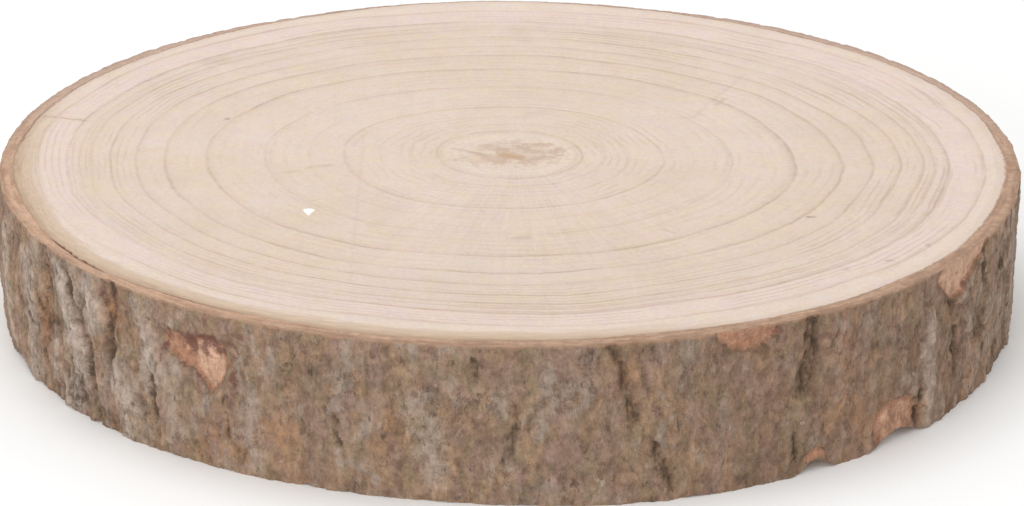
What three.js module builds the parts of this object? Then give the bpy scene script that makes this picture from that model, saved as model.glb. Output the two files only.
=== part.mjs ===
// A wood slice: one cross-cut disc of a tree trunk with its bark on, lying on its lower saw cut.
// Millimetres, +Z up. The origin is the centre of the lower face, under the middle of the disc.
// Angles are in degrees, anticlockwise from +X as seen from above. The front of the slice is -Y.

import * as THREE from 'three';
import { mergeVertices } from 'three/addons/utils/BufferGeometryUtils.js';

// Driving dimensions.
const DIAMETER = 260;
const THICKNESS = 40;
const BARK_THICKNESS = 4.5;

// How finely the bark is divided: columns round the trunk, rows from face to face.
const COLUMNS = 240;
const ROWS = 10;

// A trunk is never quite round. Each pair is the cosine and sine share of the radius for
// 1, 2, 3 and 4 lobes, at the upper cut and at the lower cut.
const UPPER_LOBES = [[-0.001, -0.0033], [-0.0021, 0.0031], [-0.0011, 0.0006], [-0.0032, 0]];
const LOWER_LOBES = [[0.0008, -0.0018], [-0.0013, -0.0015], [-0.0041, 0], [-0.0032, 0]];

// How much smaller the trunk is at the lower cut, and where its side swells out or is hollow: at
// the upper cut, half-way down and at the lower cut. The reach is in degrees each way.
const LOWER_LOSS = 0.9;
const UPPER_SWELLS = [{ angle: 96, reach: 24, swell: 1.5 }];
const MIDDLE_SWELLS = [{ angle: 186, reach: 34, swell: 1.3 }];
const LOWER_SWELLS = [
  { angle: 283, reach: 26, swell: 2 },
  { angle: 334, reach: 28, swell: -1 },
];

// The bark's rolling relief: waves round the trunk that wander sideways with height.
const BARK_WAVES = [
  { count: 17, size: 0.45, lean: 0.9 },
  { count: 29, size: 0.4, lean: -1.4 },
  { count: 47, size: 0.35, lean: 2.1 },
];

// The deep furrows. Each runs from angle `from` at `top` to angle `to` at `foot`, where top and
// foot are distances below the upper face.
const FURROWS = [
  { from: 209, to: 210, top: 0, foot: 16, width: 3, depth: 1.4 },
  { from: 214, to: 219.5, top: 2, foot: 40, width: 3.5, depth: 1.8 },
  { from: 223, to: 222, top: 0, foot: 24, width: 3, depth: 1.4 },
  { from: 229, to: 230, top: 18, foot: 38, width: 3, depth: 1.2 },
  { from: 257, to: 258, top: 6, foot: 22, width: 3, depth: 1 },
  { from: 280, to: 287, top: 0, foot: 40, width: 3.5, depth: 1.6 },
  { from: 302, to: 301, top: 0, foot: 38, width: 3.5, depth: 1.4 },
  { from: 325, to: 327, top: 12, foot: 32, width: 3.5, depth: 1.4 },
];

// Places where a scale of bark has broken away, with their centre's distance below the upper face.
const SCARS = [
  { angle: 235.5, below: 14, width: 20, height: 15, depth: 1.6 },
  { angle: 294.5, below: 1, width: 17, height: 10, depth: 1.3 },
  { angle: 327, below: 4, width: 24, height: 15, depth: 1.6 },
  { angle: 316, below: 35, width: 17, height: 11, depth: 1.4 },
];

// Places where the bark has chipped off along the lower edge.
const EDGE_CHIPS = [
  { angle: 201, width: 15, height: 1.9 },
  { angle: 303.6, width: 13, height: 2.6 },
  { angle: 315.8, width: 26, height: 2.9 },
];

const RADIUS = DIAMETER / 2;

// The signed way round the trunk from one angle to another, as a length on the bark.
function lengthAlongBark(angle, fromAngle) {
  const turn = THREE.MathUtils.euclideanModulo(angle - fromAngle + 180, 360) - 180;
  return THREE.MathUtils.degToRad(turn) * RADIUS;
}

// A smooth hump: 1 in the middle, 0 at half the width and beyond.
function hump(distance, width) {
  const share = Math.min(Math.abs(distance) / (width / 2), 1);
  return 0.5 + 0.5 * Math.cos(Math.PI * share);
}

function lobeShare(lobes, angle) {
  const turn = THREE.MathUtils.degToRad(angle);
  let share = 0;
  lobes.forEach(([cosine, sine], index) => {
    const count = index + 1;
    share += cosine * Math.cos(count * turn) + sine * Math.sin(count * turn);
  });
  return share;
}

// How far the trunk swells out at an angle. A hollow counts as less than nothing.
function swelling(places, angle) {
  let height = 0;
  for (const place of places) {
    const reach = THREE.MathUtils.degToRad(place.reach) * RADIUS;
    height += place.swell * hump(lengthAlongBark(angle, place.angle), 2 * reach);
  }
  return height;
}

// The trunk's own outline at one height, with no bark relief.
function trunkRadius(angle, below) {
  const low = below / THICKNESS;
  const upper = RADIUS * lobeShare(UPPER_LOBES, angle) + swelling(UPPER_SWELLS, angle);
  const lower = RADIUS * lobeShare(LOWER_LOBES, angle) + swelling(LOWER_SWELLS, angle) - LOWER_LOSS;
  const middle = 4 * low * (1 - low) * swelling(MIDDLE_SWELLS, angle);
  return RADIUS + THREE.MathUtils.lerp(upper, lower, low) + middle;
}

function waveRelief(angle, below) {
  const turn = THREE.MathUtils.degToRad(angle);
  let relief = 0;
  for (const wave of BARK_WAVES) {
    relief += wave.size * Math.sin(wave.count * turn + (wave.lean * below) / THICKNESS);
  }
  return relief;
}

function furrowDepth(angle, below) {
  let depth = 0;
  for (const furrow of FURROWS) {
    const length = furrow.foot - furrow.top;
    const share = THREE.MathUtils.clamp((below - furrow.top) / length, 0, 1);
    const path = THREE.MathUtils.lerp(furrow.from, furrow.to, share);
    const past = Math.max(furrow.top - below, below - furrow.foot, 0);
    const fade = hump(past, 2 * furrow.width);
    depth = Math.max(depth, furrow.depth * fade * hump(lengthAlongBark(angle, path), 2 * furrow.width));
  }
  return depth;
}

function scarDepth(angle, below) {
  let depth = 0;
  for (const scar of SCARS) {
    const across = lengthAlongBark(angle, scar.angle) / (scar.width / 2);
    const along = (below - scar.below) / (scar.height / 2);
    depth = Math.max(depth, scar.depth * hump(Math.hypot(across, along), 2));
  }
  return depth;
}

function barkRadius(angle, below) {
  const relief = waveRelief(angle, below) - furrowDepth(angle, below) - scarDepth(angle, below);
  return trunkRadius(angle, below) + relief;
}

// How far the lower edge of the bark is chipped up above the lower face.
function chipHeight(angle) {
  let height = 0;
  for (const chip of EDGE_CHIPS) {
    height = Math.max(height, chip.height * hump(lengthAlongBark(angle, chip.angle), chip.width));
  }
  return height;
}

function pointAt(angle, radius, z) {
  const turn = THREE.MathUtils.degToRad(angle);
  return [radius * Math.cos(turn), radius * Math.sin(turn), z];
}

// One column of points at one angle, from the lower wood line, out and up the bark, to the upper
// wood line.
function column(angle) {
  const foot = chipHeight(angle);
  const points = [pointAt(angle, trunkRadius(angle, THICKNESS) - BARK_THICKNESS, 0)];
  for (let row = 0; row <= ROWS; row += 1) {
    const z = THREE.MathUtils.lerp(foot, THICKNESS, row / ROWS);
    points.push(pointAt(angle, barkRadius(angle, THICKNESS - z), z));
  }
  points.push(pointAt(angle, trunkRadius(angle, 0) - BARK_THICKNESS, THICKNESS));
  return points;
}

// The columns side by side make the bark, and a fan of triangles closes each saw cut.
function sliceGeometry() {
  const positions = [];
  const indices = [];
  const perColumn = ROWS + 3;
  for (let index = 0; index < COLUMNS; index += 1) {
    positions.push(...column((360 * index) / COLUMNS).flat());
  }
  const lowerCentre = COLUMNS * perColumn;
  const upperCentre = lowerCentre + 1;
  positions.push(0, 0, 0);
  positions.push(0, 0, THICKNESS);
  for (let index = 0; index < COLUMNS; index += 1) {
    const here = index * perColumn;
    const next = ((index + 1) % COLUMNS) * perColumn;
    for (let step = 0; step < perColumn - 1; step += 1) {
      indices.push(here + step, next + step, next + step + 1);
      indices.push(here + step, next + step + 1, here + step + 1);
    }
    indices.push(lowerCentre, next, here);
    indices.push(upperCentre, here + perColumn - 1, next + perColumn - 1);
  }
  const geometry = new THREE.BufferGeometry();
  geometry.setAttribute('position', new THREE.Float32BufferAttribute(positions, 3));
  geometry.setIndex(indices);
  return mergeVertices(geometry);
}

// The relief pulls the outline a little to one side, so the middle is brought back to the origin.
function centreOnOrigin(geometry) {
  geometry.computeBoundingBox();
  const middle = geometry.boundingBox.getCenter(new THREE.Vector3());
  geometry.translate(-middle.x, -middle.y, 0);
}

function makeWoodSlice() {
  const geometry = sliceGeometry();
  centreOnOrigin(geometry);
  geometry.computeVertexNormals();
  const wood = new THREE.MeshStandardMaterial({ color: 0xdcc8b4, roughness: 0.8, metalness: 0 });
  const mesh = new THREE.Mesh(geometry, wood);
  mesh.name = 'wood_slice';
  return mesh;
}

const woodSlice = new THREE.Group();
woodSlice.name = 'slice';
woodSlice.add(makeWoodSlice());

export default woodSlice;
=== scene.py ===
"""A wood slice: one cross-cut disc of a tree trunk with its bark on.

Lengths in the tables below are millimetres, and angles are degrees, anticlockwise from +X as
seen from above. The front of the slice is -Y. Blender's own units are metres.
"""

import math
from collections import namedtuple

import bpy
import numpy as np
from mathutils import Euler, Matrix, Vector


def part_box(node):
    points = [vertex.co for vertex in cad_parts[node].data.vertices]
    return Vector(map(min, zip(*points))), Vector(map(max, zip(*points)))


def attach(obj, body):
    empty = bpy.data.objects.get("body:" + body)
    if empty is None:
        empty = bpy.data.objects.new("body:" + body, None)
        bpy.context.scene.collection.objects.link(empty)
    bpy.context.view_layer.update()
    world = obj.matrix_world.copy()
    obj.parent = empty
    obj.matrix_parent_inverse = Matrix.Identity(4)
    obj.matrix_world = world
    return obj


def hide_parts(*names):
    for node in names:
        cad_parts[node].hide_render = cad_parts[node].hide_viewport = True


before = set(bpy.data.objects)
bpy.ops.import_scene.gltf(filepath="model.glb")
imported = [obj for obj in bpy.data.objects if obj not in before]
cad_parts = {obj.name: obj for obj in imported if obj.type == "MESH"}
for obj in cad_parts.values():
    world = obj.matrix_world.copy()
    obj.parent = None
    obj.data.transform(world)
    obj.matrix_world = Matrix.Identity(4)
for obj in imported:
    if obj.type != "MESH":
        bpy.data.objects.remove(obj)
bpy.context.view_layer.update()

# The kinds of place and mark in the tables below.
Swell = namedtuple("Swell", "angle reach swell")
Streak = namedtuple("Streak", "start end top foot width depth pale", defaults=(0.0, 0.0))
Patch = namedtuple("Patch", "angle below width height taper lean fresh depth", defaults=(0.0,))
Area = namedtuple("Area", "angle below round up strength")
Chip = namedtuple("Chip", "angle width height")

MM = 0.001
NODE = "wood_slice"
LOW, HIGH = (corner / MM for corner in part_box(NODE))
THICKNESS = HIGH.z - LOW.z
# How far the bark's relief stands out past the trunk's plain radius.
RELIEF_OUT = 0.45
RADIUS = (HIGH.x - LOW.x + HIGH.y - LOW.y) / 4 - RELIEF_OUT

# How finely the slice is divided. The bark takes most of the faces.
COLUMNS = 1200
BARK_ROWS = 56
BAKE_MAP = "OFBake"

# ---- The trunk's outline ----

# A trunk is never quite round. Each pair is the cosine and sine share of the radius for
# 1, 2, 3 and 4 lobes, at the upper cut and at the lower cut.
UPPER_LOBES = ((-0.001, -0.0033), (-0.0021, 0.0031), (-0.0011, 0.0006), (-0.0032, 0.0))
LOWER_LOBES = ((0.0008, -0.0018), (-0.0013, -0.0015), (-0.0041, 0.0), (-0.0032, 0.0))
LOWER_LOSS = 0.9
# Where the trunk's side swells out or is hollow: at the upper cut, half-way down and at the
# lower cut. The reach is in degrees each way.
UPPER_SWELLS = [Swell(96, 24, 1.5)]
MIDDLE_SWELLS = [Swell(186, 34, 1.3)]
LOWER_SWELLS = [Swell(283, 26, 2.0), Swell(334, 28, -1.0)]

# The bark's usual thickness, and where it is thicker or thinner. It is thinnest at the back.
BARK_THICKNESS = 3.5
LEAST_BARK = 0.5
BARK_SWELLS = [Swell(*row) for row in (
    (200, 20, 0.5),
    (216, 16, -0.9),
    (258, 14, -0.5),
    (291, 20, 0.7),
    (342, 26, 0.9),
    (20, 30, -0.6),
    (93, 50, -2.9),
)]
# How far the bark's upper edge is worn down.
WORN_EDGE = 0.12

# ---- The bark's own marks ----

# Deep furrows, each from angle `start` at the distance `top` under the upper face to angle `end`
# at the distance `foot` under it, then the width and the depth.
FURROWS = [Streak(*row) for row in (
    (209.8, 211.0, -2, 15, 2.8, 1.8),
    (215.4, 218.0, 3, 17, 2.6, 1.7),
    (218.4, 220.2, 17, 41, 2.8, 1.9),
    (223.9, 222.6, -2, 25, 2.6, 1.6),
    (229.5, 229.8, 20, 37, 2.0, 1.3),
    (200.5, 202.5, -2, 30, 2.2, 0.8),
    (207.6, 209.8, 14, 41, 2.0, 1.1),
    (238.6, 239.2, 19, 33, 1.4, 0.8),
    (249.0, 249.6, 4, 14, 1.8, 0.9),
    (251.5, 252.2, 20, 31, 1.8, 1.0),
    (257.2, 258.2, 8, 22, 1.6, 1.0),
    (266.2, 266.6, 3, 10, 1.8, 0.8),
    (271.0, 269.4, 14, 31, 1.8, 0.9),
    (280.0, 282.0, -2, 13, 2.6, 1.3),
    (282.2, 284.0, 13, 25, 2.4, 1.5),
    (284.5, 287.4, 24, 41, 2.4, 1.4),
    (303.2, 301.6, -2, 21, 3.6, 1.9),
    (301.2, 300.6, 27, 38, 1.3, 0.9),
    (319.6, 319.4, 29, 40, 2.0, 1.8),
    (325.2, 327.0, 10, 31, 2.2, 1.5),
    (333.5, 333.0, 2, 24, 3.0, 1.1),
    (22.0, 24.5, 4, 36, 2.6, 1.5),
    (58.0, 56.0, 3, 26, 2.4, 1.4),
    (91.0, 94.0, 10, 41, 2.8, 1.6),
    (127.0, 128.5, 3, 32, 2.4, 1.4),
    (158.0, 156.0, 12, 41, 2.6, 1.5),
)]

# Raised plates with grey, weathered faces, given in the same way. Their depth is how far they
# stand out, and the last number is how pale they are.
PLATES = [Streak(*row) for row in (
    (213.2, 217.8, 2, 24, 5.5, 0.9, 0.8),
    (217.8, 214.8, 23, 41, 5.5, 0.9, 0.8),
    (219.4, 221.2, 3, 14, 6.0, 0.7, 0.7),
    (228.0, 230.2, 2, 24, 5.0, 0.6, 0.6),
    (223.2, 226.2, 20, 41, 5.0, 0.6, 0.6),
    (231.8, 233.2, 18, 36, 4.0, 0.5, 0.4),
    (196.0, 197.5, 6, 40, 5.0, 0.6, 0.5),
    (204.5, 206.0, 5, 41, 6.0, 0.3, 0.7),
    (242.0, 243.2, 16, 41, 4.0, 0.2, 0.3),
    (261.8, 263.0, 18, 38, 5.0, 0.2, 0.5),
    (306.4, 307.4, 3, 26, 3.6, 0.6, 0.0),
    (320.4, 321.0, 10, 41, 3.4, 1.0, 0.6),
    (329.5, 331.0, 16, 40, 5.0, 0.6, 0.4),
    (39.0, 42.0, 6, 38, 6.0, 0.6, 0.5),
    (107.0, 105.0, 4, 30, 6.0, 0.6, 0.6),
    (141.0, 144.0, 8, 41, 5.0, 0.6, 0.5),
)]

# Places where a scale of bark has broken away down to the pink inner bark: angle, distance under
# the upper face, width, height, width at the foot as a share of the width at the head, how far
# the foot is to the right of the head in degrees, how clearly the inner bark shows, and depth.
SCARS = [Patch(*row) for row in (
    (237.2, 13.6, 12.0, 15, 0.2, 0.8, 0.92, 1.5),
    (233.6, 11.4, 8.5, 9.5, 0.5, 2.4, 0.58, 0.9),
    (295.0, 0.4, 18, 11, 1.0, 0, 0.56, 1.0),
    (327.6, 2.6, 27, 18, 0.1, -4.6, 1.0, 1.4),
    (315.2, 35.0, 17, 13, 1.1, 0, 0.74, 0.8),
    (303.4, 38.0, 11, 4.5, 1.0, 0, 0.6, 0.4),
)]

# Dark red bruises on and beside the scars, given in the same way.
BRUISES = [Patch(*row) for row in (
    (236.9, 9.0, 18, 6, 0.8, 0, 0.85),
    (240.6, 12.5, 3.5, 14, 0.6, -0.8, 0.75),
    (232.2, 10.5, 3, 7, 1.0, 0, 0.7),
    (298.5, 2.0, 3, 6, 1.0, 0, 0.7),
    (319.4, 32.5, 2.4, 10, 1.0, 0, 0.5),
    (327.2, 9.0, 3.5, 9, 0.6, -5.0, 0.5),
)]
RED_CRACK = Streak(237.4, 236.9, -2, 9, 0.9)

# Broad areas of bark that are darker or paler than the rest: angle, distance under the upper
# face, how far each reaches round and up, and how much its brightness changes.
# The paler areas near the foot are painted light, which lifts the shade near the floor.
TONES = [Area(*row) for row in (
    (196, 8, 38, 28, 0.17),
    (219, 36, 26, 14, 0.06),
    (200, 33, 56, 20, 0.11),
    (217, 8, 16, 14, -0.05),
    (242, 19, 24, 14, -0.07),
    (259, 12, 40, 26, -0.08),
    (281, 5, 44, 20, -0.1),
    (303, 8, 30, 22, -0.11),
    (321, 20, 26, 15, -0.08),
    (315, 36, 40, 14, 0.18),
    (336, 3, 40, 14, 0.08),
    (340, 38, 50, 20, 0.12),
)]

# Rusty patches on the bark, given in the same way, with their strength last.
RUST = [Area(*row) for row in (
    (209.5, 20, 7, 18, 0.8),
    (223.5, 8, 7, 11, 0.8),
    (222.0, 34, 5, 10, 0.6),
    (238.5, 34, 12, 12, 0.7),
    (246.0, 28, 12, 16, 0.4),
    (257.5, 20, 7, 12, 0.4),
    (281.0, 7, 7, 9, 0.5),
    (307.0, 14, 7, 20, 0.7),
    (311.0, 33, 14, 10, 0.7),
    (332.0, 30, 16, 20, 0.4),
)]

# Chips out of the bark's lower edge: angle, width and height.
CHIPS = [Chip(*row) for row in (
    (200.5, 17, 1.9),
    (219.9, 2.6, 1.2),
    (303.6, 13, 2.8),
    (315.8, 26, 3.1),
    (20, 15, 1.4),
    (74, 9, 1.2),
    (139, 19, 1.7),
)]

# The usual width of a plate of bark, and where the bark is more rugged: angle, reach along the
# bark, and how much more.
PLATE_WIDTH = 9.5
RUGGED = ((212, 62, 0.55), (342, 80, 0.5), (95, 190, 0.4))


class Writer:
    """Adds nodes to a geometry or material tree and joins them up."""

    def __init__(self, tree):
        self.tree = tree

    def feed(self, socket, value):
        if isinstance(value, bpy.types.NodeSocket):
            self.tree.links.new(value, socket)
        else:
            socket.default_value = value

    def add(self, kind, inputs, **settings):
        node = self.tree.nodes.new(kind)
        for name, value in settings.items():
            setattr(node, name, value)
        for key, value in inputs.items():
            self.feed(node.inputs[key], value)
        return node

    def maths(self, operation, *values):
        node = self.add("ShaderNodeMath", dict(enumerate(values)), operation=operation)
        return node.outputs[0]

    def plus(self, *values):
        total = values[0]
        for value in values[1:]:
            total = self.maths("ADD", total, value)
        return total

    def minus(self, first, second):
        return self.maths("SUBTRACT", first, second)

    def times(self, *values):
        total = values[0]
        for value in values[1:]:
            total = self.maths("MULTIPLY", total, value)
        return total

    def over(self, first, second):
        return self.maths("DIVIDE", first, second)

    def most(self, first, second):
        return self.maths("MAXIMUM", first, second)

    def vector(self, operation, *values):
        node = self.add("ShaderNodeVectorMath", {}, operation=operation)
        for socket, value in zip(node.inputs, values):
            self.feed(socket, value)
        return node.outputs[0]

    def scaled(self, vector, factor):
        node = self.add("ShaderNodeVectorMath", {"Scale": factor, 0: vector}, operation="SCALE")
        return node.outputs[0]

    def drawn_out(self, place, share):
        """The place with its height shrunk to a share, which draws a pattern out upright."""
        return self.vector("MULTIPLY", place, (1.0, 1.0, share))

    def split(self, vector):
        return self.add("ShaderNodeSeparateXYZ", {0: vector}).outputs

    def join(self, x, y, z):
        return self.add("ShaderNodeCombineXYZ", {0: x, 1: y, 2: z}).outputs[0]

    def wrapped(self, east, north, radius, height):
        """The point at a radius in a direction, and at a height."""
        return self.join(self.times(east, radius), self.times(north, radius), height)

    def ramp(self, value, low, high, from_zero=0.0, to_one=1.0):
        """Rises smoothly from from_zero at low to to_one at high."""
        inputs = {0: value, 1: low, 2: high, 3: from_zero, 4: to_one}
        node = self.add("ShaderNodeMapRange", inputs, interpolation_type="SMOOTHSTEP")
        return node.outputs[0]

    def fall(self, value, low, high):
        """Falls smoothly from 1 at low to 0 at high."""
        return self.ramp(value, low, high, 1.0, 0.0)

    def line(self, value, low, high, to_low, to_high):
        """Goes straight from to_low at low to to_high at high, and no further."""
        inputs = {0: value, 1: low, 2: high, 3: to_low, 4: to_high}
        return self.add("ShaderNodeMapRange", inputs).outputs[0]

    def hump(self, value, centre, half_width):
        """1 where value is centre, 0 where it is half_width or more away."""
        away = self.maths("ABSOLUTE", self.minus(value, centre))
        return self.fall(away, 0.0, half_width)

    def near(self, turn, angle, full, none):
        """1 within a length full of an angle round the trunk, 0 beyond a length none of it."""
        away = self.maths("ABSOLUTE", round_from(self, turn, angle))
        return self.fall(away, full, none)

    def blend(self, factor, first, second):
        inputs = {0: factor, 2: first, 3: second}
        return self.add("ShaderNodeMix", inputs, data_type="FLOAT").outputs[0]

    def tint(self, factor, first, second, mode="MIX"):
        inputs = {0: factor, 6: first, 7: second}
        return self.add("ShaderNodeMix", inputs, data_type="RGBA", blend_type=mode).outputs[2]

    def noise(self, vector, size, detail=2.0, roughness=0.5, distortion=0.0, output="Fac"):
        """Cloudy noise whose features are about size long."""
        inputs = {
            "Vector": vector,
            "Scale": 1 / size,
            "Detail": detail,
            "Roughness": roughness,
            "Distortion": distortion,
        }
        return self.add("ShaderNodeTexNoise", inputs).outputs[output]

    def swing(self, *args, **kwargs):
        """Noise about zero, mostly between -1 and 1."""
        return self.line(self.noise(*args, **kwargs), 0.25, 0.75, -1.0, 1.0)


def colour(red, green, blue):
    """A colour as it looks on screen, as the linear colour that a node takes."""
    def linear(value):
        return value / 12.92 if value <= 0.04045 else ((value + 0.055) / 1.055) ** 2.4
    return (linear(red), linear(green), linear(blue), 1.0)


# ---- The bark's pattern, which the shape and the bark's colours both follow ----

def trunk_place(w, position):
    """The angle round the trunk in radians, the distance below the upper face, and the point
    on a plain round trunk at that place, all from a position in millimetres."""
    x, y, z = w.split(position)
    turn = w.maths("ARCTAN2", y, x)
    below = w.minus(THICKNESS, z)
    on_trunk = w.wrapped(w.maths("COSINE", turn), w.maths("SINE", turn), RADIUS, z)
    return turn, below, on_trunk


def along_bark(w, turn, angle):
    """The length round the bark from an angle in radians, positive anticlockwise."""
    return w.times(w.maths("WRAP", w.minus(turn, angle), math.pi, -math.pi), RADIUS)


def round_from(w, turn, degrees):
    """The length round the bark from an angle in degrees."""
    return along_bark(w, turn, math.radians(degrees))


def area(w, turn, below, place):
    """1 in the middle of a soft area of the bark, 0 outside it."""
    round_it = w.hump(round_from(w, turn, place.angle), 0.0, place.round)
    return w.times(round_it, w.hump(below, place.below, place.up))


def streak(w, turn, below, wander, mark):
    """How far a place is inside a long mark: 1 on its middle line, 0 outside it."""
    path = w.line(
        below, mark.top, mark.foot, math.radians(mark.start), math.radians(mark.end)
    )
    across = w.maths("ABSOLUTE", w.plus(along_bark(w, turn, path), wander))
    inside = w.fall(across, 0.0, mark.width)
    head = w.ramp(below, mark.top - 1.5, mark.top + 1.5)
    foot = w.fall(below, mark.foot - 3.0, mark.foot + 1.5)
    return w.times(inside, head, foot)


def patch_depth(w, turn, below, wander, patch):
    """About how many millimetres a place is inside a patch, and negative outside it."""
    down = w.over(w.minus(below, patch.below), patch.height / 2)
    lean = math.radians(patch.lean) * RADIUS / 2
    across = w.minus(round_from(w, turn, patch.angle), w.times(down, lean))
    half = patch.width / 2
    half_width = w.ramp(down, -0.2, 1.1, half, patch.taper * half)
    reach = w.maths("POWER", w.maths("ABSOLUTE", w.over(across, half_width)), 2.6)
    drop = w.maths("POWER", w.maths("ABSOLUTE", down), 2.6)
    share = w.maths("POWER", w.plus(reach, drop), 1 / 2.6)
    size = min(patch.width, patch.height) / 2
    return w.plus(w.times(w.minus(1.0, share), size), w.times(wander, 0.36))


def rugged_share(w, turn):
    """The left and right of the front are the most furrowed, and the middle is smoother."""
    share = 0.45
    for angle, reach, more in RUGGED:
        near = w.hump(round_from(w, turn, angle), 0.0, reach)
        share = w.plus(share, w.times(near, more))
    return share


def plates(w, on_trunk, rugged):
    """Long upright plates: how deep the gap between two of them is, from 0 to 1, and three
    random numbers for each plate."""
    cloud = w.noise(on_trunk, 10.0, 3.0, 0.6, output="Color")
    bend = w.scaled(w.vector("SUBTRACT", cloud, (0.5, 0.5, 0.5)), 13.0)
    upright = w.drawn_out(w.vector("ADD", on_trunk, bend), 0.26)
    cells = {"Vector": upright, "Scale": 1 / PLATE_WIDTH}
    edge = w.add("ShaderNodeTexVoronoi", cells, feature="DISTANCE_TO_EDGE").outputs["Distance"]
    chance = w.add("ShaderNodeTexVoronoi", cells, feature="F1").outputs["Color"]
    near = w.fall(edge, 0.0, 0.16)
    patchy = w.ramp(w.noise(on_trunk, 13.0, 3.0, 0.6), 0.4, 0.66)
    return w.times(near, patchy, rugged), w.split(chance)


def bark_pattern(w, turn, below, on_trunk):
    """The bark's relief in millimetres, and how strongly each kind of mark shows."""
    fibres = w.drawn_out(on_trunk, 0.14)
    wander = w.plus(
        w.times(w.swing(on_trunk, 6.0, 2.0), 1.3), w.times(w.swing(on_trunk, 1.8, 2.0), 0.7)
    )
    broken_up = w.ramp(
        w.noise(w.drawn_out(on_trunk, 0.4), 3.0, 4.0, 0.65), 0.36, 0.58, 0.25, 1.0
    )

    # Where the furrows get their painted shade, and how deep they are carved.
    furrow_shade = 0.0
    carved = 0.0
    for mark in FURROWS:
        here = w.times(streak(w, turn, below, wander, mark), broken_up)
        furrow_shade = w.most(here, furrow_shade)
        carved = w.most(w.times(here, mark.depth), carved)
    pale = 0.0
    raised = 0.0
    for mark in PLATES:
        here = streak(w, turn, below, wander, mark)
        pale = w.most(w.times(here, mark.pale), pale)
        raised = w.most(w.times(here, mark.depth), raised)
    scar = 0.0
    broken = 0.0
    for mark in SCARS:
        inside = patch_depth(w, turn, below, wander, mark)
        scar = w.most(w.ramp(inside, -0.8, 2.2, 0.0, mark.fresh), scar)
        broken = w.most(w.ramp(inside, -0.3, 0.9, 0.0, mark.depth), broken)
    bruise = w.times(streak(w, turn, below, w.times(wander, 0.3), RED_CRACK), 0.9)
    for mark in BRUISES:
        inside = patch_depth(w, turn, below, wander, mark)
        bruise = w.most(w.ramp(inside, -1.0, 1.2, 0.0, mark.fresh), bruise)

    rugged = rugged_share(w, turn)
    gap, (height_chance, _, _) = plates(w, on_trunk, rugged)
    roll = w.swing(w.drawn_out(on_trunk, 0.35), 12.0, 3.0, 0.5)
    scale = w.swing(w.drawn_out(on_trunk, 0.6), 2.8, 3.0, 0.6)
    fibre = w.swing(fibres, 1.5, 3.0, 0.6)
    grit = w.swing(on_trunk, 1.1, 2.0, 0.6)
    clean = w.ramp(scar, 0.1, 0.7, 1.0, 0.45)
    rough = w.plus(
        w.times(roll, rugged, 0.6),
        w.times(w.minus(height_chance, 0.5), rugged, 1.0),
        w.times(gap, -1.1),
        w.times(scale, 0.34),
        w.times(fibre, 0.16),
        w.times(grit, 0.2),
    )
    relief = w.plus(w.times(rough, clean), raised, w.times(carved, -1.0), w.times(broken, -1.0))
    return {"relief": relief, "furrow_shade": furrow_shade, "pale": pale, "scar": scar, "bruise": bruise}


# ---- The blank: a plain closed disc, divided where the detail will be ----

# Rows on each saw cut, from the bark's edge inwards: the share of the way across the bark,
# the distance past the bark, and the share of the remaining radius.
CUT_ROWS = (
    (0.3, 0.0, 1.0), (0.6, 0.0, 1.0), (0.85, 0.0, 1.0), (1.0, 0.0, 1.0),
    (1.0, 0.6, 1.0), (1.0, 1.6, 1.0), (1.0, 3.5, 1.0),
)
# Each of these rings has half the columns of the one before it.
HALVED_RINGS = (0.94, 0.8, 0.55, 0.25)


def blank_rings():
    """The rings of points from the lower centre, out and up, to the upper centre: the number of
    columns, the height share, and then the same three numbers as in CUT_ROWS."""
    cut = [(COLUMNS, across, past, share) for across, past, share in CUT_ROWS]
    for step, share in enumerate(HALVED_RINGS, 1):
        cut.append((COLUMNS >> step, 1.0, 3.5, share))
    rings = [(columns, 0.0, *rest) for columns, *rest in reversed(cut)]
    for row in range(BARK_ROWS + 1):
        rings.append((COLUMNS, row / BARK_ROWS, 0.0, 0.0, 1.0))
    rings += [(columns, 1.0, *rest) for columns, *rest in cut]
    return rings


def ring_faces(first, first_columns, second, second_columns):
    """The faces between two rings, where one may have twice the columns of the other."""
    if first_columns < second_columns:
        faces = ring_faces(second, second_columns, first, first_columns)
        return [(b, a, c) for a, b, c in faces]
    faces = []
    for i in range(second_columns):
        d, e = second + i, second + (i + 1) % second_columns
        if first_columns == second_columns:
            faces.append((first + i, first + (i + 1) % first_columns, e, d))
        else:
            a, b, c = (first + (2 * i + k) % first_columns for k in range(3))
            faces += [(a, b, d), (b, e, d), (b, c, e)]
    return faces


def cap_faces(centre, first, columns, upward):
    around = [(first + i, first + (i + 1) % columns) for i in range(columns)]
    return [(centre, a, b) if upward else (centre, b, a) for a, b in around]


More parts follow.
